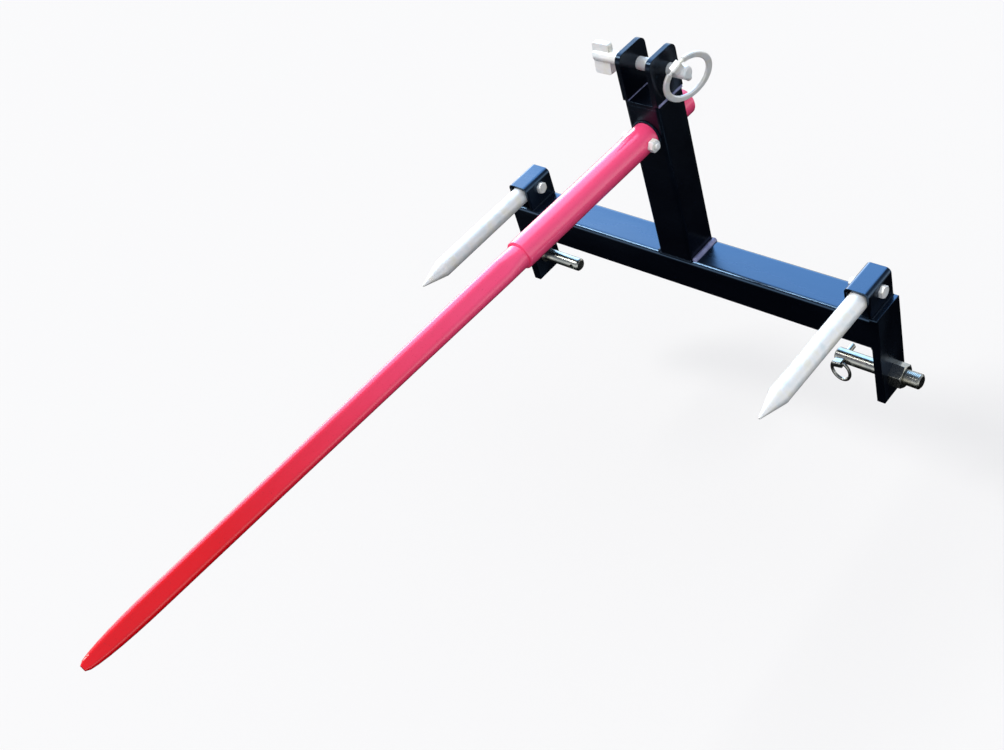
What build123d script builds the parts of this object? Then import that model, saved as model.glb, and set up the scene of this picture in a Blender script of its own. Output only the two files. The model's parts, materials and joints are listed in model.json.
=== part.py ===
from build123d import *
from math import asin, cos, degrees, radians, sin, sqrt
import os

# Tractor-mounted bale spear for a three-point hitch, in millimetres
# The origin is the middle of the lower hitch axis. +X runs along that axis, the spears point
# along -Y away from the tractor, and +Z is up.
os.makedirs("parts", exist_ok=True)

# Square tube of the crossbar and the mast
tube_side = 60.0
tube_wall = 5.0
tube_corner_radius = 6.5
crossbar_length = 658.0
crossbar_top = 127.0
mast_height = 280.0

# End plates that carry the lower hitch pins
end_plate_thickness = 12.0
end_plate_height = 165.0
end_plate_corner_radius = 2.0

# Cap and ears of the top link clevis
cap_thickness = 6.0
ear_thickness = 8.0
ear_height = 70.0
ear_corner_radius = 12.0
ear_hole_rise = 37.0
ear_hole_setback = 10.0

# Socket pipe of the main spear
sleeve_diameter = 42.4
sleeve_wall = 3.2
sleeve_front_reach = 315.0
sleeve_rear_reach = 58.0
sleeve_rim_chamfer = 1.0
spear_drop_from_mast_top = 52.4
spear_rise_angle = 0.7
spear_fit_clearance = 0.05

# Forged main spear, round in its socket and a rounded square with one edge up outside it
spear_rear_inset = 3.0
spear_tip_reach = 1055.0
spear_root_chamfer = 3.0
spear_neck_gap = 7.0
spear_shoulder_length = 30.0
spear_shoulder_width = 36.0
spear_shoulder_corner = 12.5
spear_middle_reach = 730.0
spear_middle_width = 29.5
spear_middle_corner = 7.5
spear_nose_length = 110.0
spear_nose_width = 27.0
spear_nose_corner = 7.0
spear_tip_width = 8.0
nose_station_shares = (0.2, 0.4, 0.58, 0.74, 0.87, 0.95, 1.0)

# Bolt that holds the main spear in its pipe
spear_bolt_diameter = 10.0
spear_bolt_head_width = 17.0
spear_bolt_head_height = 6.4
spear_bolt_nut_height = 8.0
spear_bolt_reach = 48.0
spear_bolt_spare_thread = 4.0
bolt_hole_clearance = 0.25

# Side spears and the folded brackets that hold them
side_spear_diameter = 30.0
side_spear_length = 300.0
side_spear_point_length = 46.0
side_spear_tip_diameter = 3.0
side_spear_rear_inset = 2.0
side_spear_rear_chamfer = 1.5
bracket_wall = 4.0
bracket_height = 46.0
bracket_side_clearance = 0.2
bracket_top_clearance = 0.1
bracket_bend_radius = 8.0
bracket_overhang = 3.2

# Bolts that pass through the brackets and the side spears
bracket_bolt_diameter = 10.0
bracket_bolt_head_width = 17.0
bracket_bolt_head_height = 6.4
bracket_bolt_nut_height = 8.0
bracket_bolt_setback = 2.0
bracket_bolt_spare_thread = 3.0

# Lower hitch pins, their nuts and the linch pin of the right one
lower_pin_diameter = 22.0
lower_pin_reach = 80.0
lower_pin_chamfer = 2.5
lower_pin_collar_diameter = 28.0
lower_pin_collar_width = 4.0
lower_pin_hole_inset = 12.0
lower_nut_width = 33.3
lower_nut_height = 20.0
lower_thread_spare = 24.0
lower_thread_chamfer = 2.0
thread_clearance = 0.05

# Top link pin with its flat handle
top_pin_diameter = 19.0
top_pin_left_reach = 101.0
top_pin_right_reach = 62.0
top_pin_chamfer = 2.0
top_pin_running_clearance = 0.08
top_pin_collar_diameter = 27.0
top_pin_collar_width = 4.0
top_pin_collar_gap = 0.3
top_pin_linch_place = 50.0
top_handle_width = 29.0
top_handle_length = 47.0
top_handle_drop = 27.0
top_handle_thickness = 10.0
top_handle_corner_radius = 4.0
top_handle_tilt = 6.0

# Linch pins with sprung rings
linch_running_clearance = 0.08
linch_head_seat_gap = 0.2
ring_hole_clearance = 0.06
linch_tip_chamfer = 2.5
lower_linch_diameter = 9.5
lower_linch_reach = 26.0
lower_linch_head_length = 11.0
lower_linch_head_width = 13.0
lower_linch_head_depth = 10.5
lower_linch_roll = 10.0
lower_ring_radius = 18.2
lower_ring_band = 5.4
lower_ring_thickness = 4.6
lower_ring_chord = 11.5
lower_ring_width_share = 0.8
lower_ring_stub_diameter = 4.0
top_linch_diameter = 9.5
top_linch_reach = 24.0
top_linch_head_length = 12.0
top_linch_head_width = 15.0
top_linch_head_depth = 12.0
top_linch_tilt = 35.0
top_linch_roll = 24.0
top_ring_radius = 35.5
top_ring_band = 9.5
top_ring_thickness = 5.0
top_ring_chord = 13.0
top_ring_width_share = 1.0
top_ring_stub_diameter = 4.4

# Shared working values
overrun = 2.0
hex_chamfer_share = 0.09
head_fillet_share = 0.25
band_corner_share = 0.42
stub_gap_share = 0.2

# Places worked out from the sizes above
half_side = tube_side / 2
crossbar_base = crossbar_top - tube_side
mast_top = crossbar_top + mast_height
spear_axis_height = mast_top - spear_drop_from_mast_top
ear_hole_height = mast_top + ear_hole_rise
plate_inner_face = crossbar_length / 2
plate_outer_face = plate_inner_face + end_plate_thickness
side_spear_radius = side_spear_diameter / 2
bracket_inner_half = side_spear_radius + bracket_side_clearance
bracket_outer_half = bracket_inner_half + bracket_wall
side_spear_place = plate_inner_face + bracket_overhang - bracket_outer_half
side_spear_height = crossbar_top + bracket_height - bracket_wall - bracket_top_clearance - side_spear_radius
linch_place = plate_inner_face - lower_pin_reach + lower_pin_hole_inset
spear_rear_reach = sleeve_rear_reach - spear_rear_inset
spear_neck_reach = sleeve_front_reach + spear_neck_gap
spear_shoulder_reach = spear_neck_reach + spear_shoulder_length
spear_nose_reach = spear_tip_reach - spear_nose_length


def along(direction, origin=(0, 0, 0), across=None):
    """Plane at origin whose Z axis runs along direction."""
    if across is None:
        return Plane(origin=origin, z_dir=direction)
    return Plane(origin=origin, x_dir=across, z_dir=direction)


def bar(radius, start, end, plane):
    """Round bar between two stations of a plane's Z axis."""
    body = Cylinder(radius, end - start, align=(Align.CENTER, Align.CENTER, Align.MIN))
    return plane * Pos(0, 0, start) * body


def square_tube(length):
    """Square tube with rounded corners that stands on the XY plane."""
    inner_side = tube_side - 2 * tube_wall
    inner_radius = max(tube_corner_radius - tube_wall, tube_wall * hex_chamfer_share)
    profile = RectangleRounded(tube_side, tube_side, tube_corner_radius)
    profile -= RectangleRounded(inner_side, inner_side, inner_radius)
    return extrude(profile, amount=length)


def hexagon_prism(width, height):
    """Hexagon with chamfered corners on its upper end, standing on the XY plane."""
    corner_radius = width / sqrt(3)
    prism = extrude(RegularPolygon(radius=corner_radius, side_count=6), amount=height)
    cone_height = corner_radius * hex_chamfer_share
    profile = Polyline(
        (0, 0),
        (corner_radius, 0),
        (corner_radius, height - cone_height),
        (width / 2 * (1 - hex_chamfer_share / 2), height),
        (0, height),
        close=True,
    )
    turned = revolve(Plane.XZ * make_face(profile), axis=Axis.Z)
    return prism & turned


def hex_bolt(diameter, head_width, head_height, shank_length):
    """Bolt whose head stands on the XY plane and whose shank runs down from it."""
    shank = Cylinder(diameter / 2, shank_length, align=(Align.CENTER, Align.CENTER, Align.MAX))
    end_edge = shank.edges().sort_by(Axis.Z)[0]
    shank = chamfer(end_edge, diameter * hex_chamfer_share)
    return hexagon_prism(head_width, head_height) + shank


def hex_nut(bore_radius, width, height):
    """Nut that stands on the XY plane."""
    bore = Cylinder(bore_radius, height + 2 * overrun, align=(Align.CENTER, Align.CENTER, Align.MIN))
    return hexagon_prism(width, height) - Pos(0, 0, -overrun) * bore


def name_part(name, shape):
    export_step(shape, f"parts/{name}.step")


# Crossbar and end plates
def crossbar_tube():
    frame = Plane(origin=(-plate_inner_face, 0, crossbar_base + half_side), x_dir=(0, 1, 0), z_dir=(1, 0, 0))
    return frame * square_tube(crossbar_length)


def end_plate(side):
    middle_height = crossbar_top - end_plate_height / 2
    face = Plane(origin=(side * plate_inner_face, 0, middle_height), x_dir=(0, 1, 0), z_dir=(side, 0, 0))
    plate = extrude(face * RectangleRounded(tube_side, end_plate_height, end_plate_corner_radius),
                    amount=end_plate_thickness)
    hole_radius = lower_pin_diameter / 2 + thread_clearance
    hole = bar(hole_radius, plate_inner_face - overrun, plate_outer_face + overrun, along((side, 0, 0)))
    return plate - hole


# Mast, cap and ears
spear_plane = Plane(
    origin=(0, 0, spear_axis_height),
    x_dir=(1, 0, 0),
    z_dir=(0, -cos(radians(spear_rise_angle)), sin(radians(spear_rise_angle))),
)


def mast_tube():
    tube = Pos(0, 0, crossbar_top) * square_tube(mast_height - cap_thickness)
    opening = bar(sleeve_diameter / 2, -tube_side, tube_side, spear_plane)
    return tube - opening


def mast_cap():
    plate = extrude(RectangleRounded(tube_side, tube_side, tube_corner_radius), amount=cap_thickness)
    return Pos(0, 0, mast_top - cap_thickness) * plate


def ear(side):
    outline = Pos(0, ear_height / 2) * Rectangle(tube_side, ear_height)
    top_corners = outline.vertices().sort_by(Axis.Y)[-2:]
    outline = fillet(top_corners, ear_corner_radius)
    hole_radius = top_pin_diameter / 2 + top_pin_running_clearance
    outline -= Pos(ear_hole_setback, ear_hole_rise) * Circle(hole_radius)
    inner_face = half_side - ear_thickness
    start = inner_face if side > 0 else -half_side
    face = Plane(origin=(start, 0, mast_top), x_dir=(0, 1, 0), z_dir=(1, 0, 0))
    return extrude(face * outline, amount=ear_thickness)


# Main spear in its socket pipe
spear_root_diameter = sleeve_diameter - 2 * sleeve_wall - 2 * spear_fit_clearance


def spear_cross_hole():
    radius = spear_bolt_diameter / 2 + bolt_hole_clearance
    reach = sleeve_diameter / 2 + overrun
    centre = (spear_plane * Pos(0, 0, spear_bolt_reach)).position
    return bar(radius, -reach, reach, along((1, 0, 0), centre))


def spear_sleeve():
    pipe = bar(sleeve_diameter / 2, -sleeve_rear_reach, sleeve_front_reach, spear_plane)
    rims = pipe.edges().filter_by(GeomType.CIRCLE)
    pipe = chamfer(rims, sleeve_rim_chamfer)
    bore = bar(sleeve_diameter / 2 - sleeve_wall, -sleeve_rear_reach - overrun,
               sleeve_front_reach + overrun, spear_plane)
    return pipe - bore - spear_cross_hole()


def spear_section(width, corner, reach):
    """Rounded square across the spear with one corner up."""
    return spear_plane * Pos(0, 0, reach) * Rot(0, 0, 45) * RectangleRounded(width, width, corner)


def main_spear():
    root = bar(spear_root_diameter / 2, -spear_rear_reach, spear_neck_reach, spear_plane)
    rear_edge = root.edges().filter_by(GeomType.CIRCLE).sort_by(Axis.Y)[-1]
    root = chamfer(rear_edge, spear_root_chamfer)
    neck_corner = spear_root_diameter / 2 - spear_fit_clearance
    neck = spear_section(spear_root_diameter, neck_corner, spear_neck_reach)
    shoulder = spear_section(spear_shoulder_width, spear_shoulder_corner, spear_shoulder_reach)
    middle = spear_section(spear_middle_width, spear_middle_corner, spear_middle_reach)
    nose = spear_section(spear_nose_width, spear_nose_corner, spear_nose_reach)
    body = loft([neck, shoulder]) + loft([shoulder, middle]) + loft([middle, nose])
    corner_share = spear_nose_corner / spear_nose_width
    sections = [nose]
    for station in nose_station_shares:
        width = spear_tip_width + (spear_nose_width - spear_tip_width) * sqrt(1 - station * station)
        reach = spear_nose_reach + spear_nose_length * station
        sections.append(spear_section(width, width * corner_share, reach))
    point = loft(sections, ruled=True)
    return root + body + point - spear_cross_hole()


def spear_bolt_plane(side):
    """Plane on the flat that the bolt's head or nut makes against the pipe."""
    centre = (spear_plane * Pos(0, 0, spear_bolt_reach)).position
    seat = Vector(side * sleeve_diameter / 2, 0, 0)
    return Plane(origin=centre + seat, x_dir=(0, 1, 0), z_dir=(side, 0, 0))


def spear_bolt():
    length = sleeve_diameter + spear_bolt_nut_height + spear_bolt_spare_thread
    bolt = hex_bolt(spear_bolt_diameter, spear_bolt_head_width, spear_bolt_head_height, length)
    return spear_bolt_plane(-1) * bolt


def spear_bolt_nut():
    bore_radius = spear_bolt_diameter / 2 + thread_clearance
    nut = hex_nut(bore_radius, spear_bolt_head_width, spear_bolt_nut_height)
    return spear_bolt_plane(1) * nut


# Side spears, brackets and their bolts
def bracket_bolt_line(side):
    centre = (side * side_spear_place, bracket_bolt_setback, side_spear_height)
    return along((1, 0, 0), centre)


def bracket_cross_hole(side):
    radius = bracket_bolt_diameter / 2 + bolt_hole_clearance
    reach = bracket_outer_half + overrun
    return bar(radius, -reach, reach, bracket_bolt_line(side))


def side_bracket(side):
    outer = Pos(0, bracket_height / 2) * Rectangle(2 * bracket_outer_half, bracket_height)
    outer = fillet(outer.vertices().sort_by(Axis.Y)[-2:], bracket_bend_radius)
    inner_height = bracket_height - bracket_wall
    inner = Pos(0, inner_height / 2) * Rectangle(2 * bracket_inner_half, inner_height)
    inner = fillet(inner.vertices().sort_by(Axis.Y)[-2:], bracket_bend_radius - bracket_wall)
    face = Plane(origin=(side * side_spear_place, half_side, crossbar_top), x_dir=(1, 0, 0), z_dir=(0, -1, 0))
    folded = extrude(face * (outer - inner), amount=tube_side)
    return folded - bracket_cross_hole(side)


def side_spear(side):
    rear = half_side - side_spear_rear_inset
    front = rear - side_spear_length
    start = rear - side_spear_length + side_spear_point_length
    profile = Polyline(
        (0, rear),
        (side_spear_radius - side_spear_rear_chamfer, rear),
        (side_spear_radius, rear - side_spear_rear_chamfer),
        (side_spear_radius, start),
        (side_spear_tip_diameter / 2, front),
        (0, front),
        close=True,
    )
    turned = revolve(make_face(profile), axis=Axis.Y)
    placed = Pos(side * side_spear_place, 0, side_spear_height) * turned
    return placed - bracket_cross_hole(side)


def bracket_bolt(side):
    grip = 2 * bracket_outer_half
    length = grip + bracket_bolt_nut_height + bracket_bolt_spare_thread
    bolt = hex_bolt(bracket_bolt_diameter, bracket_bolt_head_width, bracket_bolt_head_height, length)
    return bracket_bolt_line(side) * Pos(0, 0, bracket_outer_half) * bolt


def bracket_nut(side):
    bore_radius = bracket_bolt_diameter / 2 + thread_clearance
    nut = hex_nut(bore_radius, bracket_bolt_head_width, bracket_bolt_nut_height)
    return bracket_bolt_line(side) * Pos(0, 0, -bracket_outer_half) * Rot(180, 0, 0) * nut


# Lower hitch pins
def lower_pin(side):
    end = plate_inner_face - lower_pin_reach
    stud_end = plate_outer_face + lower_nut_height + lower_thread_spare
    collar_start = plate_inner_face - lower_pin_collar_width
    radius = lower_pin_diameter / 2
    collar_radius = lower_pin_collar_diameter / 2
    profile = Polyline(
        (end, 0),
        (end, radius - lower_pin_chamfer),
        (end + lower_pin_chamfer, radius),
        (collar_start, radius),
        (collar_start, collar_radius),
        (plate_inner_face, collar_radius),
        (plate_inner_face, radius),
        (stud_end - lower_thread_chamfer, radius),
        (stud_end, radius - lower_thread_chamfer),
        (stud_end, 0),
        close=True,
    )
    pin = revolve(make_face(profile), axis=Axis.X)
    hole_radius = lower_linch_diameter / 2 + linch_running_clearance
    pin -= bar(hole_radius, -radius - overrun, radius + overrun, along((0, 1, 0), (linch_place, 0, 0)))
    if side < 0:
        pin = mirror(pin, about=Plane.YZ)
    return pin


def lower_nut(side):
    nut = hex_nut(lower_pin_diameter / 2 + thread_clearance, lower_nut_width, lower_nut_height)
    seat = Plane(origin=(side * plate_outer_face, 0, 0), x_dir=(0, 0, 1), z_dir=(side, 0, 0))
    return seat * nut


# Top link pin with a flat handle welded across its left end
top_pin_axis = (0, ear_hole_setback, ear_hole_height)
tilt = radians(top_handle_tilt)
handle_down = Vector(0, -sin(tilt), -cos(tilt))
linch_tilt = radians(top_linch_tilt)
linch_roll = radians(top_linch_roll)
top_linch_down = Vector(0, sin(linch_tilt), -cos(linch_tilt))
top_linch_across = Vector(0, -cos(linch_tilt), -sin(linch_tilt))
top_ring_hinge = top_linch_across * cos(linch_roll) - Vector(1, 0, 0) * sin(linch_roll)


def top_link_pin():
    line = along((1, 0, 0), top_pin_axis)
    radius = top_pin_diameter / 2
    shaft = bar(radius, -top_pin_left_reach, top_pin_right_reach, line)
    shaft = chamfer(shaft.edges().filter_by(GeomType.CIRCLE), top_pin_chamfer)
    collar_face = -half_side - top_pin_collar_gap
    collar = bar(top_pin_collar_diameter / 2, collar_face - top_pin_collar_width, collar_face, line)
    handle_middle = top_handle_drop - top_handle_length / 2
    outline = Pos(top_handle_width / 2, handle_middle) * RectangleRounded(
        top_handle_width, top_handle_length, top_handle_corner_radius)
    sheet = Plane(
        origin=Vector(top_pin_axis) - Vector(top_pin_left_reach, 0, 0),
        x_dir=(1, 0, 0),
        z_dir=Vector(1, 0, 0).cross(handle_down),
    )
    handle = extrude(sheet * outline, amount=top_handle_thickness / 2, both=True)
    place = Vector(top_pin_axis) + Vector(top_pin_linch_place, 0, 0)
    hole_radius = top_linch_diameter / 2 + linch_running_clearance
    hole = bar(hole_radius, -radius - overrun, radius + overrun, along(top_linch_down, place))
    return shaft + collar + handle - hole


# Linch pins: shank, flattened head with a cross hole, and a sprung ring
def linch_pin(host_radius, diameter, reach, head_length, head_width, head_depth, stub_diameter, plane):
    """Shank along the plane's Z axis through a host pin at its origin; the ring's hole lies along X."""
    seat = -host_radius - linch_head_seat_gap
    shank = bar(diameter / 2, seat - head_length / 2, reach, Plane.XY)
    tip = shank.edges().filter_by(GeomType.CIRCLE).sort_by(Axis.Z)[-1]
    shank = chamfer(tip, linch_tip_chamfer)
    outline = Rectangle(head_length, head_depth)
    outline = fillet(outline.vertices().sort_by(Axis.X)[:2], head_depth * head_fillet_share)
    side = Plane(origin=(0, 0, seat - head_length / 2), x_dir=(0, 0, 1), z_dir=(1, 0, 0))
    head = extrude(side * outline, amount=head_width / 2, both=True)
    hole_radius = stub_diameter / 2 + ring_hole_clearance
    hole = bar(hole_radius, -head_width, head_width, along((1, 0, 0), (0, 0, seat - head_length / 2)))
    return plane * (shank + head - hole)


def linch_ring(radius, band, thickness, chord, width_share, stub_diameter, head_width, hinge, hinge_line, hang):
    """Ring that swings on two stubs along hinge_line and hangs from the point hinge along hang."""
    depth = sqrt(radius * radius - chord * chord)
    opening = 2 * degrees(asin(chord / radius))
    section = Plane.XZ * Pos(radius, 0) * RectangleRounded(band, thickness, thickness * band_corner_share)
    loop = revolve(section, axis=Axis.Z, revolution_arc=360 - opening)
    loop = Pos(0, depth, 0) * Rot(0, 0, opening / 2 - 90) * loop
    loop = scale(loop, by=(width_share, 1, 1))
    inner_end = head_width / 2 * stub_gap_share
    outer_end = chord * width_share
    for side in (-1, 1):
        loop += bar(stub_diameter / 2, inner_end, outer_end, along((side, 0, 0)))
        loop += Pos(side * outer_end, 0, 0) * Sphere(stub_diameter / 2)
    lay = Plane(origin=hinge, x_dir=hinge_line, z_dir=hinge_line.cross(hang))
    return lay * loop


# Places of the two linch pins, their heads and their rings
lower_roll = radians(lower_linch_roll)
lower_hinge_line = Vector(cos(lower_roll), 0, sin(lower_roll))
lower_ring_hang = Vector(sin(lower_roll), 0, -cos(lower_roll))
lower_linch_line = Vector(0, 1, 0)
lower_linch_origin = Vector(linch_place, 0, 0)
lower_seat = lower_pin_diameter / 2 + linch_head_seat_gap
lower_hinge = lower_linch_origin - lower_linch_line * (lower_seat + lower_linch_head_length / 2)

top_linch_origin = Vector(top_pin_linch_place, ear_hole_setback, ear_hole_height)
top_seat = top_pin_diameter / 2 + linch_head_seat_gap
top_hinge = top_linch_origin - top_linch_down * (top_seat + top_linch_head_length / 2)


def lower_linch_pin():
    plane = Plane(origin=lower_linch_origin, x_dir=lower_hinge_line, z_dir=lower_linch_line)
    return linch_pin(lower_pin_diameter / 2, lower_linch_diameter, lower_linch_reach,
                     lower_linch_head_length, lower_linch_head_width, lower_linch_head_depth,
                     lower_ring_stub_diameter, plane)


def lower_linch_ring():
    return linch_ring(lower_ring_radius, lower_ring_band, lower_ring_thickness, lower_ring_chord,
                      lower_ring_width_share, lower_ring_stub_diameter, lower_linch_head_width,
                      lower_hinge, lower_hinge_line, lower_ring_hang)


def top_linch_pin():
    plane = Plane(origin=top_linch_origin, x_dir=top_ring_hinge, z_dir=top_linch_down)
    return linch_pin(top_pin_diameter / 2, top_linch_diameter, top_linch_reach,
                     top_linch_head_length, top_linch_head_width, top_linch_head_depth,
                     top_ring_stub_diameter, plane)


def top_linch_ring():
    return linch_ring(top_ring_radius, top_ring_band, top_ring_thickness, top_ring_chord,
                      top_ring_width_share, top_ring_stub_diameter, top_linch_head_width,
                      top_hinge, top_ring_hinge, top_linch_down)


# Whole spear frame
name_part("crossbar", crossbar_tube())
name_part("mast", mast_tube())
name_part("mast_cap", mast_cap())
name_part("spear_sleeve", spear_sleeve())
name_part("main_spear", main_spear())
name_part("spear_bolt", spear_bolt())
name_part("spear_bolt_nut", spear_bolt_nut())
for side, side_name in ((-1, "left"), (1, "right")):
    name_part(f"end_plate_{side_name}", end_plate(side))
    name_part(f"ear_{side_name}", ear(side))
    name_part(f"side_bracket_{side_name}", side_bracket(side))
    name_part(f"side_spear_{side_name}", side_spear(side))
    name_part(f"bracket_bolt_{side_name}", bracket_bolt(side))
    name_part(f"bracket_nut_{side_name}", bracket_nut(side))
    name_part(f"lower_pin_{side_name}", lower_pin(side))
    name_part(f"lower_pin_nut_{side_name}", lower_nut(side))
name_part("top_link_pin", top_link_pin())
name_part("top_linch_pin", top_linch_pin())
name_part("top_linch_ring", top_linch_ring())
name_part("lower_linch_pin", lower_linch_pin())
name_part("lower_linch_ring", lower_linch_ring())
print("lower ring hinge", lower_hinge, "line", lower_hinge_line)
print("top ring hinge", top_hinge, "line", top_ring_hinge, "pin slides along", -top_linch_down)
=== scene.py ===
# %% [markdown]
# # A bale spear for a tractor
#
# This lesson dresses a welded farm tool: a black frame of square tube, one long red forged
# spear, two short zinc-plated spears, and the pins that join it to a tractor's hitch. The solid
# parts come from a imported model, so they already have their real size and place. What is left
# for Blender is the finish of each surface and the small things a solid model leaves out: weld
# beads, screw threads and softened edges. We start by loading the frame and keeping its box.

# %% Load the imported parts
import json
import math

import bpy
from mathutils import Matrix, Vector


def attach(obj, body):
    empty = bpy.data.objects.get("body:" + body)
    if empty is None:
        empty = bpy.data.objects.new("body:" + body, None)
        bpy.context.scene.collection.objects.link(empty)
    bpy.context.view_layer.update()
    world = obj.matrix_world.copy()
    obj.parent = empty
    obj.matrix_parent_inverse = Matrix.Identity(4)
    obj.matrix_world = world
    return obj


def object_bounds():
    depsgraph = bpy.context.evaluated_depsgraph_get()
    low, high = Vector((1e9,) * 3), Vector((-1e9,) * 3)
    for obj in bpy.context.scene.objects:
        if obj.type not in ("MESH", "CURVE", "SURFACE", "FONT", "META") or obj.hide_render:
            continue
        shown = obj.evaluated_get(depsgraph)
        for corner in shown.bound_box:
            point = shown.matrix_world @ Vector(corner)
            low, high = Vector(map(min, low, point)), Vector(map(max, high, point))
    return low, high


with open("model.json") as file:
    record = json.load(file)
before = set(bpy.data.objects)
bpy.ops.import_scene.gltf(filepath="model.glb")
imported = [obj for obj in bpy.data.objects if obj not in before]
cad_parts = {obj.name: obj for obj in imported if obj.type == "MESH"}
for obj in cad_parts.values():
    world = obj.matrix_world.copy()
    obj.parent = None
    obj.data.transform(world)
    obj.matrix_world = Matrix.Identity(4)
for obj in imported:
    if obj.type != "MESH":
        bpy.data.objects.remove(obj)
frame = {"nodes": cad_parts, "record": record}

cad_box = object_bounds()
nodes = frame["nodes"]
print("parts loaded:", len(nodes))
print("whole object, lowest and highest corner:", cad_box)

# %% [markdown]
# ## Small helpers
#
# Colours are written the way a paint chart gives them, as hex values for a screen. Blender's
# shaders work with light, so one function turns a hex value to linear light. Another adds a
# shader node with its settings and links in one line.

# %% Colours and shader nodes
MM = 0.001
black, white = (0.0, 0.0, 0.0, 1.0), (1.0, 1.0, 1.0, 1.0)


def linear(hex_colour):
    """Turns a screen colour to linear light."""
    channels = [int(hex_colour[i:i + 2], 16) / 255 for i in (1, 3, 5)]
    light = [c / 12.92 if c <= 0.04045 else ((c + 0.055) / 1.055) ** 2.4 for c in channels]
    return (*light, 1.0)


def add_node(tree, kind, settings=None, values=None, links=None, bands=()):
    """Adds one shader node. Inputs go by name, or by number where two share a name.

    links maps an input to the output socket that feeds it. bands are the stops of a colour
    ramp from left to right, each a position and a colour; a new ramp has two stops.
    """
    node = tree.nodes.new(kind)
    for name, value in (settings or {}).items():
        setattr(node, name, value)
    for name, value in (values or {}).items():
        node.inputs[name].default_value = value
    for name, socket in (links or {}).items():
        tree.links.new(socket, node.inputs[name])
    for index, (position, colour) in enumerate(bands):
        stops = node.color_ramp.elements
        stop = stops[index] if index < 2 else stops.new(position)
        stop.position = position
        stop.color = colour
    return node


def new_material(name):
    material = bpy.data.materials.new(name)
    material.use_nodes = True
    material.node_tree.nodes.clear()
    return material, material.node_tree


print("mid grey in linear light:", round(linear("#808080")[0], 3))

# %% [markdown]
# ## The camera
#
# A camera is matched to a photograph by solving its place, turn and lens from edges whose real
# size is known: here the square tube, the end plates and the mast. The three rows below are
# the camera's right, down and forward directions in the object's own frame.

# %% Camera
camera_place = Vector((1.0904, -1.1665, 1.4134))
camera_right = Vector((0.72727969, 0.63483668, -0.26085752))
camera_down = Vector((0.31354251, -0.64540436, -0.69652301))
camera_forward = Vector((-0.61053693, 0.42477712, -0.66843777))
sensor_width = 36.0
image_width = 1004
focal_pixels = 1317.78

camera_data = bpy.data.cameras.new("photo_camera")
camera_data.sensor_width = sensor_width
camera_data.lens = focal_pixels / image_width * sensor_width
camera_data.clip_end = 60.0
camera = bpy.data.objects.new("photo_camera", camera_data)
bpy.context.scene.collection.objects.link(camera)
turn = Matrix((camera_right, -camera_down, -camera_forward)).transposed()
camera.matrix_world = Matrix.Translation(camera_place) @ turn.to_4x4()
bpy.context.scene.camera = camera
print("lens in mm:", round(camera_data.lens, 2))

# %% [markdown]
# ## Surroundings
#
# Gloss paint shows what stands around it. The real frame seems to have stood on dark ground
# under a bright sky, since its top faces shine blue and its sides are almost black. The world
# below gives mirror rays such a yard: dark ground, a white horizon, a patch of blue sky high
# behind the frame and a bank of white cloud low at its left. Plain surfaces get soft even light
# from all around, and the camera sees plain white.

# %% What the yard is made of
# Bands by height, from 0 straight down to 1 straight up: ground, haze, horizon and high sky.
yard_bands = [(0.20, linear("#08090B")), (0.34, linear("#6A6E72")),
              (0.45, linear("#F7F9FB")), (0.72, linear("#5E6675"))]
yard_strength = 1.8

# Each bright patch fades in from its rim to its middle. Both are cosines of the angle from the
# direction that it is centred on.
blue_sky = {"direction": Vector((-0.52, 0.57, 0.63)).normalized(), "rim": 0.70, "middle": 0.93,
            "colour": "#9BC9F8", "strength": 4.8}
white_cloud = {"direction": Vector((-0.88, 0.42, 0.20)).normalized(), "rim": 0.88,
               "middle": 0.97, "colour": "#FFFFFF", "strength": 2.6}


def bright_patch(tree, place, direction, rim, middle, colour, strength):
    """Light from one part of the sky."""
    nearness = add_node(tree, "ShaderNodeVectorMath", {"operation": "DOT_PRODUCT"},
                        {1: direction}, {0: place})
    glow = add_node(tree, "ShaderNodeMapRange", {"interpolation_type": "SMOOTHSTEP"},
                    {"From Min": rim, "From Max": middle, "To Max": strength},
                    {"Value": nearness.outputs["Value"]})
    return add_node(tree, "ShaderNodeBackground", values={"Color": linear(colour)},
                    links={"Strength": glow.outputs["Result"]})


print("blue sky towards", tuple(round(c, 2) for c in blue_sky["direction"]))
print("white cloud towards", tuple(round(c, 2) for c in white_cloud["direction"]))

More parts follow.
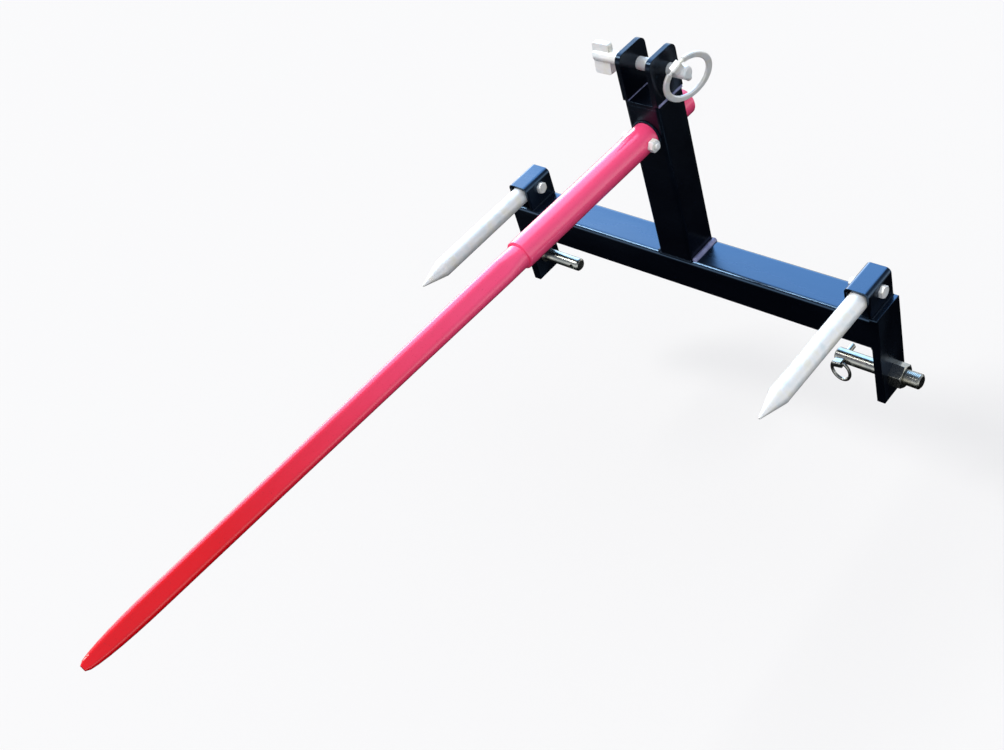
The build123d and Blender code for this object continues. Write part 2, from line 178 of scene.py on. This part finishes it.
# %% World
def build_world():
    world = bpy.data.worlds.new("bright_yard")
    bpy.context.scene.world = world
    world.use_nodes = True
    tree = world.node_tree
    tree.nodes.clear()
    place = add_node(tree, "ShaderNodeTexCoord").outputs["Generated"]
    split = add_node(tree, "ShaderNodeSeparateXYZ", links={"Vector": place})
    height = add_node(tree, "ShaderNodeMapRange", values={"From Min": -1.0},
                      links={"Value": split.outputs["Z"]})
    bands = add_node(tree, "ShaderNodeValToRGB", links={"Fac": height.outputs["Result"]},
                     bands=yard_bands)
    yard = add_node(tree, "ShaderNodeBackground", values={"Strength": yard_strength},
                    links={"Color": bands.outputs["Color"]})
    patches = add_node(tree, "ShaderNodeAddShader", links={
        0: bright_patch(tree, place, **blue_sky).outputs[0],
        1: bright_patch(tree, place, **white_cloud).outputs[0]})
    mirror_light = add_node(tree, "ShaderNodeAddShader",
                            links={0: yard.outputs[0], 1: patches.outputs[0]})
    soft_light = add_node(tree, "ShaderNodeBackground",
                          values={"Color": linear("#F8F9FF"), "Strength": 1.0})
    backdrop = add_node(tree, "ShaderNodeBackground",
                        values={"Color": linear("#FFFFFF"), "Strength": 1.0})
    rays = add_node(tree, "ShaderNodeLightPath")
    lit = add_node(tree, "ShaderNodeMixShader", links={
        "Fac": rays.outputs["Is Glossy Ray"], 1: soft_light.outputs[0],
        2: mirror_light.outputs[0]})
    seen = add_node(tree, "ShaderNodeMixShader", links={
        "Fac": rays.outputs["Is Camera Ray"], 1: lit.outputs[0], 2: backdrop.outputs[0]})
    add_node(tree, "ShaderNodeOutputWorld", links={"Surface": seen.outputs[0]})
    return world


print("world:", build_world().name)

# %% [markdown]
# ## One soft sun
#
# A hazy sun lights every place alike, so the floor stays even. It stands high at the left
# front, which puts a thin bright line on the rounded front corner of the crossbar.

# %% Sun
sun_direction = Vector((-0.55, -0.32, 0.78))
sun_data = bpy.data.lights.new("hazy_sun", "SUN")
sun_data.energy = 1.5
sun_data.angle = math.radians(16)
sun_data.color = linear("#FFFDF8")[:3]
sun = bpy.data.objects.new("hazy_sun", sun_data)
sun.rotation_euler = sun_direction.to_track_quat("Z", "Y").to_euler()
bpy.context.scene.collection.objects.link(sun)
print("sun height in degrees:", round(math.degrees(math.asin(sun_direction.normalized().z))))

# %% [markdown]
# ## The floor
#
# The tool hangs from a hitch in use, so the floor lies well below it and takes a faint shadow.
# It is matt white floor paint, which gives the eye an even pale ground. It glows a little for
# the camera alone, which keeps it near white without putting more light on the object.

# %% Floor
floor_drop = 0.24
floor_size = 40
floor_glow = 0.54


def floor_paint():
    material, tree = new_material("pale_floor_paint")
    glow = add_node(tree, "ShaderNodeEmission",
                    values={"Color": linear("#FFFFFF"), "Strength": floor_glow})
    shaded = add_node(tree, "ShaderNodeBsdfDiffuse", values={"Color": linear("#999999")})
    bounce = add_node(tree, "ShaderNodeBsdfDiffuse", values={"Color": linear("#5C5C5C")})
    both = add_node(tree, "ShaderNodeAddShader", links={0: glow.outputs[0], 1: shaded.outputs[0]})
    rays = add_node(tree, "ShaderNodeLightPath")
    seen = add_node(tree, "ShaderNodeMixShader", links={
        "Fac": rays.outputs["Is Camera Ray"], 1: bounce.outputs[0], 2: both.outputs[0]})
    add_node(tree, "ShaderNodeOutputMaterial", links={"Surface": seen.outputs[0]})
    return material


def build_floor():
    low = cad_box[0][2] - floor_drop
    bpy.ops.object.select_all(action="DESELECT")
    bpy.ops.mesh.primitive_plane_add(size=floor_size, location=(0, 0, low))
    floor = bpy.context.active_object
    floor.name = "studio_floor"
    floor.visible_glossy = False
    floor.data.materials.append(floor_paint())
    return floor


print("floor at height", round(build_floor().location.z, 3))

# %% [markdown]
# ## Gloss black paint
#
# The frame is sprayed with one coat of gloss black enamel over welded mild steel. Wet enamel
# pulls flat, so it mirrors its surroundings, with a slight orange peel that wobbles the
# reflection. Part of the blue on its top faces comes from a faint blue tint in the paint's own
# shine. The crossbar's top is rubbed dull just behind its front corner, and less and less
# towards the back.

# %% The paint's relief and its dullness
paint_corner = 1.2 * MM         # a thick coat rounds sharp edges by about this much
tube_front, tube_back = -30 * MM, 30 * MM
# How much the paint is rubbed, from the tube's front face, 0, to its back face, 1.
rub_bands = [(0.03, black), (0.07, white), (1.0, black)]


def paint_normal(tree, place, sag):
    # Real orange peel is 1 to 2 mm across. That is too fine to show, so it is drawn at 5 mm.
    peel_size = 5 * MM
    peel = add_node(tree, "ShaderNodeTexNoise", values={"Scale": 1 / peel_size, "Detail": 2.0},
                    links={"Vector": place})
    sag_height = 14.0           # in heights of the orange peel
    relief = add_node(tree, "ShaderNodeMath", {"operation": "MULTIPLY_ADD"}, {1: sag_height},
                      {0: sag, 2: peel.outputs["Fac"]})
    corner = add_node(tree, "ShaderNodeBevel", {"samples": 4}, {"Radius": paint_corner})
    bump = add_node(tree, "ShaderNodeBump", values={"Strength": 0.35, "Distance": 0.12 * MM},
                    links={"Height": relief.outputs[0], "Normal": corner.outputs["Normal"]})
    return bump.outputs["Normal"]


def paint_dullness(tree, place, sag, smoothest, roughest, rubbed):
    haze = add_node(tree, "ShaderNodeMapRange", links={"Value": sag}, values={
        "From Min": 0.3, "From Max": 0.7, "To Min": smoothest, "To Max": roughest})
    split = add_node(tree, "ShaderNodeSeparateXYZ", links={"Vector": place})
    across = add_node(tree, "ShaderNodeMapRange", links={"Value": split.outputs["Y"]},
                      values={"From Min": tube_front, "From Max": tube_back})
    rub = add_node(tree, "ShaderNodeValToRGB", links={"Fac": across.outputs["Result"]},
                   bands=rub_bands)
    return add_node(tree, "ShaderNodeMath", {"operation": "MULTIPLY_ADD"}, {1: rubbed},
                    {0: rub.outputs["Color"], 2: haze.outputs["Result"]}).outputs[0]


print("paint rounds edges by", round(paint_corner / MM, 1), "mm")

# %% Black enamel
def black_enamel(name, shine, smoothest, roughest, rubbed=0.0):
    material, tree = new_material(name)
    place = add_node(tree, "ShaderNodeTexCoord").outputs["Object"]
    sag_size = 60 * MM
    stretch = add_node(tree, "ShaderNodeMapping", values={"Scale": (0.35, 1.6, 1.0)},
                       links={"Vector": place})
    sag = add_node(tree, "ShaderNodeTexNoise", values={"Scale": 1 / sag_size, "Detail": 5.0},
                   links={"Vector": stretch.outputs["Vector"]}).outputs["Fac"]
    shade = add_node(tree, "ShaderNodeMix", {"data_type": "RGBA"},
                     {6: linear("#020308"), 7: linear("#05070E")}, {0: sag})
    paint = add_node(
        tree, "ShaderNodeBsdfPrincipled",
        values={"IOR": 1.9, "Specular IOR Level": shine, "Specular Tint": linear("#9BC9F8")},
        links={"Base Color": shade.outputs[2],
               "Roughness": paint_dullness(tree, place, sag, smoothest, roughest, rubbed),
               "Normal": paint_normal(tree, place, sag)})
    add_node(tree, "ShaderNodeOutputMaterial", links={"Surface": paint.outputs[0]})
    return material


# Wet gloss mirrors the yard: blue on top of the crossbar and nearly black at its sides.
wet_spray = black_enamel("gloss_black_enamel", shine=0.5, smoothest=0.10, roughest=0.22,
                         rubbed=0.15)
print("paint for the frame:", wet_spray.name)

# %% [markdown]
# ## Red enamel
#
# The spear and its pipe are dipped in signal red enamel, which gives a deep colour under a
# clear shine. Its colour runs from a pinkish red near the mast to a deep red at the tip; the pink
# is painted reflection, standing in for the pale sky mirrored in the gloss there. The forged bar
# is not smooth under the paint, so long shallow hammer marks break up the highlights, and specks
# of darker paint show where it has been knocked.

# %% Red enamel
# From here towards the mast the red is mixed with a painted reflection: pink for the pale sky on
# the gloss.
deep_red_until, painted_reflection_from = -0.90, -0.30    # places along the spear, in metres
marks_along = 0.25                              # hammer marks are four times as long as wide


def red_enamel():
    material, tree = new_material("gloss_signal_red_enamel")
    place = add_node(tree, "ShaderNodeTexCoord").outputs["Object"]
    split = add_node(tree, "ShaderNodeSeparateXYZ", links={"Vector": place})
    # How much painted reflection is mixed in, from none at the tip to all of it near the mast.
    painted_reflection_share = add_node(tree, "ShaderNodeMapRange", {"interpolation_type": "SMOOTHSTEP"},
                        {"From Min": deep_red_until, "From Max": painted_reflection_from},
                        {"Value": split.outputs["Y"]})
    stretch = add_node(tree, "ShaderNodeMapping", values={"Scale": (1.0, marks_along, 1.0)},
                       links={"Vector": place})
    hammer_size = 14 * MM
    hammer = add_node(tree, "ShaderNodeTexNoise", values={"Scale": 1 / hammer_size, "Detail": 3.0},
                      links={"Vector": stretch.outputs["Vector"]}).outputs["Fac"]
    speck_size = 2.2 * MM
    specks = add_node(tree, "ShaderNodeTexNoise", values={"Scale": 1 / speck_size, "Detail": 4.0},
                      links={"Vector": place})
    deep_red = add_node(tree, "ShaderNodeMix", {"data_type": "RGBA"},
                        {6: linear("#E60010"), 7: linear("#F4061A")}, {0: hammer})
    # Painted reflection: a pinker red that stands in for the pale sky mirrored in the gloss near
    # the mast.
    red_with_painted_reflection = add_node(tree, "ShaderNodeMix", {"data_type": "RGBA"},
                        {6: linear("#FF467A"), 7: linear("#FF5A8A")}, {0: hammer})
    shade = add_node(tree, "ShaderNodeMix", {"data_type": "RGBA"}, links={
        0: painted_reflection_share.outputs["Result"], 6: deep_red.outputs[2], 7: red_with_painted_reflection.outputs[2]})
    knocked = add_node(tree, "ShaderNodeMapRange", links={"Value": specks.outputs["Fac"]},
                       values={"From Min": 0.62, "From Max": 0.75, "To Max": 0.35})
    worn = add_node(tree, "ShaderNodeMix", {"data_type": "RGBA"}, {7: linear("#A00A1C")},
                    {0: knocked.outputs["Result"], 6: shade.outputs[2]})
    bump = add_node(tree, "ShaderNodeBump", values={"Strength": 0.4, "Distance": 0.2 * MM},
                    links={"Height": hammer})
    paint = add_node(tree, "ShaderNodeBsdfPrincipled",
                     values={"IOR": 1.45, "Roughness": 0.35, "Specular IOR Level": 0.2,
                             "Coat Weight": 1.0, "Coat Roughness": 0.12, "Coat IOR": 1.5},
                     links={"Base Color": worn.outputs[2], "Normal": bump.outputs["Normal"]})
    add_node(tree, "ShaderNodeOutputMaterial", links={"Surface": paint.outputs[0]})
    return material


signal_red = red_enamel()
print("paint for the spear and its pipe:", signal_red.name)

# %% [markdown]
# ## Zinc plate
#
# Pins, nuts and the short spears are turned steel with bright zinc plating. Zinc gives a pale,
# slightly milky metal with fine grain, faint bluish and straw-coloured patches, and dull spots.
# A thin white bloom on it scatters light, so only a share of its surface acts as bare metal.

# %% Plated steel
plating_corner = 1.0 * MM


def plated_steel(name, tints, metal_share, smoothest, roughest):
    """tints are the bluish, the plain and the straw-coloured patches of the plating."""
    material, tree = new_material(name)
    place = add_node(tree, "ShaderNodeTexCoord").outputs["Object"]
    patch_size = 18 * MM
    patches = add_node(tree, "ShaderNodeTexNoise", values={"Scale": 1 / patch_size, "Detail": 4.0},
                       links={"Vector": place})
    # Real grain is under 0.1 mm, too fine to show, so it is drawn at 1.6 mm.
    grain_size = 1.6 * MM
    grain = add_node(tree, "ShaderNodeTexNoise", values={"Scale": 1 / grain_size, "Detail": 3.0},
                     links={"Vector": place}).outputs["Fac"]
    bluish, plain, straw = (linear(tint) for tint in tints)
    tint = add_node(tree, "ShaderNodeValToRGB", links={"Fac": patches.outputs["Fac"]},
                    bands=[(0.32, bluish), (0.5, plain), (0.68, straw)])
    dull = add_node(tree, "ShaderNodeMapRange", links={"Value": grain}, values={
        "From Min": 0.35, "From Max": 0.7, "To Min": smoothest, "To Max": roughest})
    corner = add_node(tree, "ShaderNodeBevel", {"samples": 4}, {"Radius": plating_corner})
    bump = add_node(tree, "ShaderNodeBump", values={"Strength": 0.3, "Distance": 0.05 * MM},
                    links={"Height": grain, "Normal": corner.outputs["Normal"]})
    metal = add_node(tree, "ShaderNodeBsdfPrincipled", values={"Metallic": metal_share},
                     links={"Base Color": tint.outputs["Color"],
                            "Roughness": dull.outputs["Result"],
                            "Normal": bump.outputs["Normal"]})
    add_node(tree, "ShaderNodeOutputMaterial", links={"Surface": metal.outputs[0]})
    return material


# Fresh plating is pale and milky, so it stays nearly white in bright light.
bright_zinc = plated_steel("bright_zinc_plate", ("#E4EEF0", "#F6F8F7", "#F2F2E6"),
                           metal_share=0.25, smoothest=0.36, roughest=0.52)
print("plating for pins, nuts and short spears:", bright_zinc.name)

# %% [markdown]
# ## Three finishes of their own
#
# The spray reached the mast half dry, so the mast, its cap and its ears shine less than the
# crossbar. The lower pins rub in the tractor's links, so their plating is oily and more
# mirror-like, and its darker tints are painted shade, for the crossbar's shade over them.
# Handling has rubbed the paint off three welds, which show bare steel; its light lavender tint
# is a painted highlight, for the sky glinting on these beads.

# %% Half-dry paint, oiled plating with painted shade, and scuffed welds with a painted glint
dry_spray = black_enamel("half_dry_black_enamel", shine=0.15, smoothest=0.16, roughest=0.28)
# Darker tints than the bright zinc: painted shade, for the crossbar's shade over the lower pins.
oiled_steel_painted_shade = plated_steel("oiled_zinc_plate_painted_shade", ("#90938F", "#A9A9A2", "#9A9788"),
                           metal_share=1.0, smoothest=0.2, roughest=0.34)
# Light lavender tint: a painted highlight for the sky glinting on bare weld steel.
weld_with_painted_glint = plated_steel("scuffed_weld_steel_with_painted_glint", ("#6C7098", "#9498BC", "#5C6084"),
                            metal_share=0.2, smoothest=0.35, roughest=0.5)
print("finishes of their own:", dry_spray.name, oiled_steel_painted_shade.name, weld_with_painted_glint.name)

# %% [markdown]
# ## Dressing the solids
#
# The record names a material slot for each part, so one loop gives every solid the usual finish
# of its slot, or its own where it has one.

# %% Give each part its finish
usual_finishes = {"black_paint": wet_spray, "red_enamel": signal_red, "zinc_plate": bright_zinc}
own_finishes = {name: dry_spray for name in ("mast", "mast_cap", "ear_left", "ear_right")}
# The lower pins take the oiled plating, whose darker tints are painted shade.
own_finishes.update({name: oiled_steel_painted_shade for name in nodes if name.startswith("lower_")})
slot_of_node = {part["node"]: part["material_slot"] for part in frame["record"]["subparts"]}
for name, part in nodes.items():
    part.data.materials.clear()
    part.data.materials.append(own_finishes.get(name, usual_finishes[slot_of_node[name]]))
print("finishes given to", len(nodes), "parts,", len(own_finishes), "of them their own")

# %% [markdown]
# ## Weld beads
#
# The frame is joined by hand with an electric arc. Each bead is a row of overlapping ripples,
# one for each pool of metal that froze. One ripple is a flattened sphere, repeated along its
# seam, so the row looks like a leaning stack of coins under the paint.

# %% A straight bead
ripple_pitch = 2.4 * MM
ripple_thickness = 0.62         # of its width


def dress(piece, name, body, finish):
    """Names a finished piece, gives it its finish and joins it to its body."""
    bpy.ops.object.transform_apply(location=True, rotation=True, scale=True)
    bpy.ops.object.shade_smooth_by_angle(angle=math.radians(40))
    piece.name = name
    piece.data.name = name
    piece.data.materials.clear()
    piece.data.materials.append(finish)
    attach(piece, body)
    return piece


def repeat(piece, count, step):
    """Copies a shape in a row, one copy every step, and leaves one mesh."""
    row = piece.modifiers.new("row", "ARRAY")
    row.count = count
    row.use_relative_offset = False
    row.use_constant_offset = True
    row.constant_offset_displace = step
    bpy.ops.object.modifier_apply(modifier=row.name)


def add_ripple(place, width, along_axis):
    bpy.ops.object.select_all(action="DESELECT")
    bpy.ops.mesh.primitive_uv_sphere_add(segments=12, ring_count=8, radius=width / 2,
                                         location=place)
    bpy.ops.object.mode_set(mode="EDIT")
    bpy.ops.transform.resize(value=[ripple_thickness if axis == along_axis else 1.0
                                    for axis in "XYZ"])
    bpy.ops.object.mode_set(mode="OBJECT")
    return bpy.context.active_object


def weld_line(name, start, end, width, along_axis, finish=dry_spray):
    """start, end and width are in millimetres."""
    start, end = Vector(start) * MM, Vector(end) * MM
    count = max(2, round((end - start).length / ripple_pitch))
    bead = add_ripple(start, width * MM, along_axis)
    repeat(bead, count, (end - start) / (count - 1))
    return dress(bead, name, "spear_frame", finish)


print("one ripple every", round(ripple_pitch / MM, 1), "mm")

# %% Beads at the mast's foot and under its ears
# Three beads take the bare-steel finish whose light lavender tint is a painted highlight.
beads = [
    weld_line("weld_mast_right", (33, -24, 127), (33, 27, 127), 10, "Y", weld_with_painted_glint),
    weld_line("weld_mast_left", (-30.5, -27, 127.5), (-30.5, 27, 127.5), 8, "Y"),
    weld_line("weld_mast_front", (-28, -28.5, 126.5), (28, -28.5, 126.5), 6, "X"),
    weld_line("weld_mast_back", (-28, 28.5, 126.5), (28, 28.5, 126.5), 6, "X"),
    weld_line("weld_ear_left_in", (-22, -27, 406.5), (-22, 27, 406.5), 3.5, "Y", weld_with_painted_glint),
    weld_line("weld_ear_right_in", (22, -27, 407), (22, 27, 407), 6, "Y"),
    weld_line("weld_ear_left_out", (-29.4, -26, 406.5), (-29.4, 26, 406.5), 5, "Y"),
    weld_line("weld_ear_right_out", (29.4, -26, 406.5), (29.4, 26, 406.5), 5, "Y", weld_with_painted_glint),
]
print("straight beads on the mast:", len(beads))

# %% Beads at the ends of the crossbar
sides = ((-1, "left"), (1, "right"))

# name, distance from the middle, (y, z) of the start and of the end, width, axis along the seam
end_seams = [
    ("weld_bracket_{}_in", 293.6, (-27, 127), (27, 127), 6, "Y"),
    ("weld_bracket_{}_out", 332.6, (-27, 127), (27, 127), 5, "Y"),
    ("weld_plate_{}_under", 328.6, (-26, 66.6), (26, 66.6), 7, "Y"),
    ("weld_plate_{}_back", 328.8, (29.2, 72), (29.2, 121), 4.5, "Z"),
]
for side, word in sides:
    for name, out, start, end, width, axis in end_seams:
        beads.append(weld_line(name.format(word), (side * out, *start), (side * out, *end),
                               width, axis))
print("straight beads in all:", len(beads))

# %% [markdown]
# ## Beads round the spear's pipe
#
# The pipe passes through the mast and is welded all round, front and back. The same ripple is
# turned about the pipe's own axis with the spin tool, which leaves a copy at every step.

# %% Round beads
pipe_rise = math.radians(0.7)
pipe_axis = Vector((0, -math.cos(pipe_rise), math.sin(pipe_rise)))
pipe_height = 354.6             # millimetres above the lower hitch axis, at the mast
pipe_seam_radius = 22.0         # millimetres from the pipe's axis


def weld_ring(name, place, radius, width):
    """place, radius and width are in millimetres."""
    centre = Vector(place) * MM
    count = round(2 * math.pi * radius * MM / ripple_pitch)
    bead = add_ripple(centre + Vector((radius * MM, 0, 0)), width * MM, "Z")
    bpy.ops.object.mode_set(mode="EDIT")
    bpy.ops.mesh.select_all(action="SELECT")
    bpy.ops.mesh.spin(steps=count - 1, dupli=True, angle=2 * math.pi * (count - 1) / count,
                      center=centre, axis=pipe_axis)
    bpy.ops.mesh.select_all(action="SELECT")
    bpy.ops.mesh.normals_make_consistent(inside=False)
    bpy.ops.object.mode_set(mode="OBJECT")
    return dress(bead, name, "spear_frame", dry_spray)


rings = [
    weld_ring("weld_pipe_front", (0, -30.5, pipe_height + 0.4), pipe_seam_radius, 5),
    weld_ring("weld_pipe_back", (0, 30.5, pipe_height - 0.4), pipe_seam_radius, 5),
]
print("round beads on the pipe:", len(rings))

# %% [markdown]
# ## Screw threads
#
# A thread this small shows only as bright and dark lines across the end of each stud, so each
# crest is a thin ring that stands a little proud of the stud, one pitch from the next.

# %% Thread crests
thread_pitch = 2.5              # these lengths are in millimetres
stud_radius = 11.0
stud_start = 362.6              # from the middle of the tool
crest_count = 9
crest_sunk = 0.15               # how deep the middle of a crest lies in the stud
crest_thickness = 0.32          # half of a crest's width, as a share of the pitch


def thread_crests(name, start, step, count, radius):
    """start, step and radius are in millimetres. step is below zero on the left stud."""
    bpy.ops.object.select_all(action="DESELECT")
    bpy.ops.mesh.primitive_torus_add(
        major_radius=(radius - crest_sunk) * MM, minor_radius=abs(step) * crest_thickness * MM,
        major_segments=40, minor_segments=8,
        location=Vector(start) * MM, rotation=(0, math.radians(90), 0))
    bpy.ops.object.transform_apply(location=False, rotation=True, scale=True)
    crests = bpy.context.active_object
    repeat(crests, count, (step * MM, 0, 0))
    # The crests take the oiled plating, whose darker tints are painted shade.
    return dress(crests, name, "spear_frame", oiled_steel_painted_shade)


for side, word in sides:
    thread_crests(f"thread_lower_stud_{word}", (side * stud_start, 0, 0), side * thread_pitch,
                  crest_count, stud_radius)
print("crests on each lower stud:", crest_count, "one every", thread_pitch, "mm")

# %% Finish
bpy.context.scene.view_settings.view_transform = "Standard"
